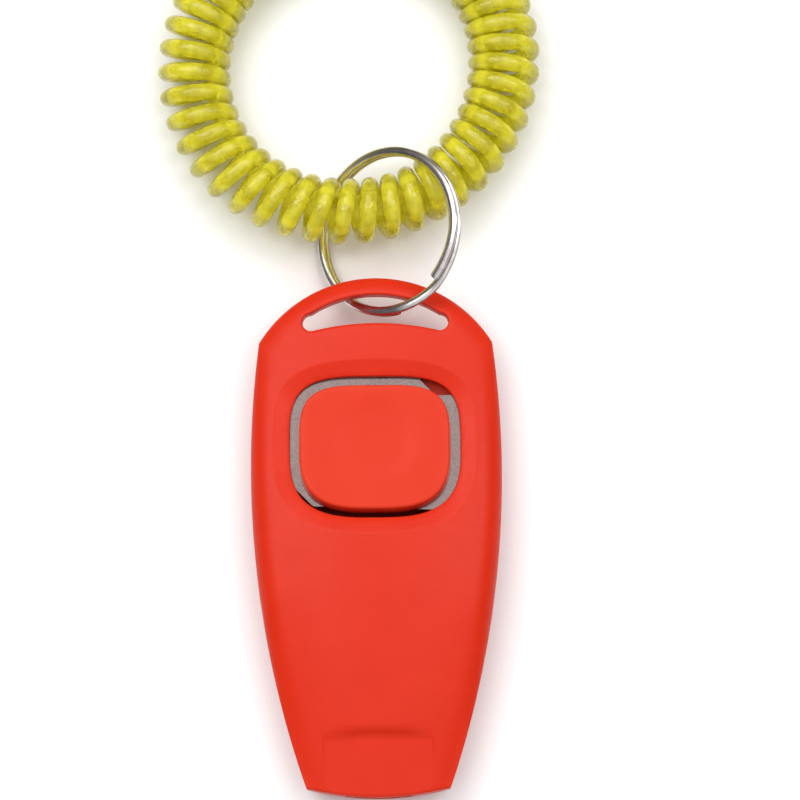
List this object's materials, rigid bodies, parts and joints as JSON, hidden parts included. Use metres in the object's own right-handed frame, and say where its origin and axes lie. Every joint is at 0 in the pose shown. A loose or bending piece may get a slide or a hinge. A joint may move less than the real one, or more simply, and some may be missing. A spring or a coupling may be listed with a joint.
{
  "type": "whistle and clicker dog trainer",
  "caption": "Handheld whistle and clicker with a press button on a steel spring plate, a lanyard slot, a split ring and a stretchy spiral wrist coil.",
  "frame": {"origin": "on the flat back, straight under the button's opening, on the middle line of the body", "axes": "+Y towards the lanyard bar and the split ring, -Y towards the mouthpiece, +Z out of the button, -Z out of the flat back, +X to the right seen from the front"},
  "size_m": [0.0564, 0.1353, 0.0159],
  "materials": {
    "red_shell": "moulded, semi-matte",
    "red_insert": "moulded, matte",
    "red_button": "moulded, satin",
    "spring_steel": "brushed",
    "ring_steel": "nickel plated",
    "coil_plastic": "translucent, glossy",
    "joiner_plastic": "moulded, glossy"
  },
  "bodies": {
    "housing": {"front_cover": "red_shell", "rear_cover": "red_shell", "whistle_insert": "red_insert"},
    "clicker": {"click_plate": "spring_steel", "click_button": "red_button"},
    "ring": {"split_ring": "ring_steel"},
    "coil": {"wrist_coil": "coil_plastic", "coil_joiner": "joiner_plastic"}
  },
  "joints": [
    {"name": "click_press", "type": "hinge", "parent": "housing", "child": "clicker", "pos_m": [0, 0.0136, 0.008], "axis": [1, 0, 0], "range_deg": [0, 7], "stiffness_Nm_per_rad": 0.5},
    {"name": "ring_swing", "type": "hinge", "parent": "housing", "child": "ring", "pos_m": [0, 0.0231, 0.0074], "axis": [1, 0, 0], "range_deg": [-30, 50]},
    {"name": "coil_swing", "type": "hinge", "parent": "ring", "child": "coil", "pos_m": [0.0009, 0.0351, 0.0062], "axis": [0.9554, 0.2552, -0.1484], "range_deg": [0, 60]}
  ]
}
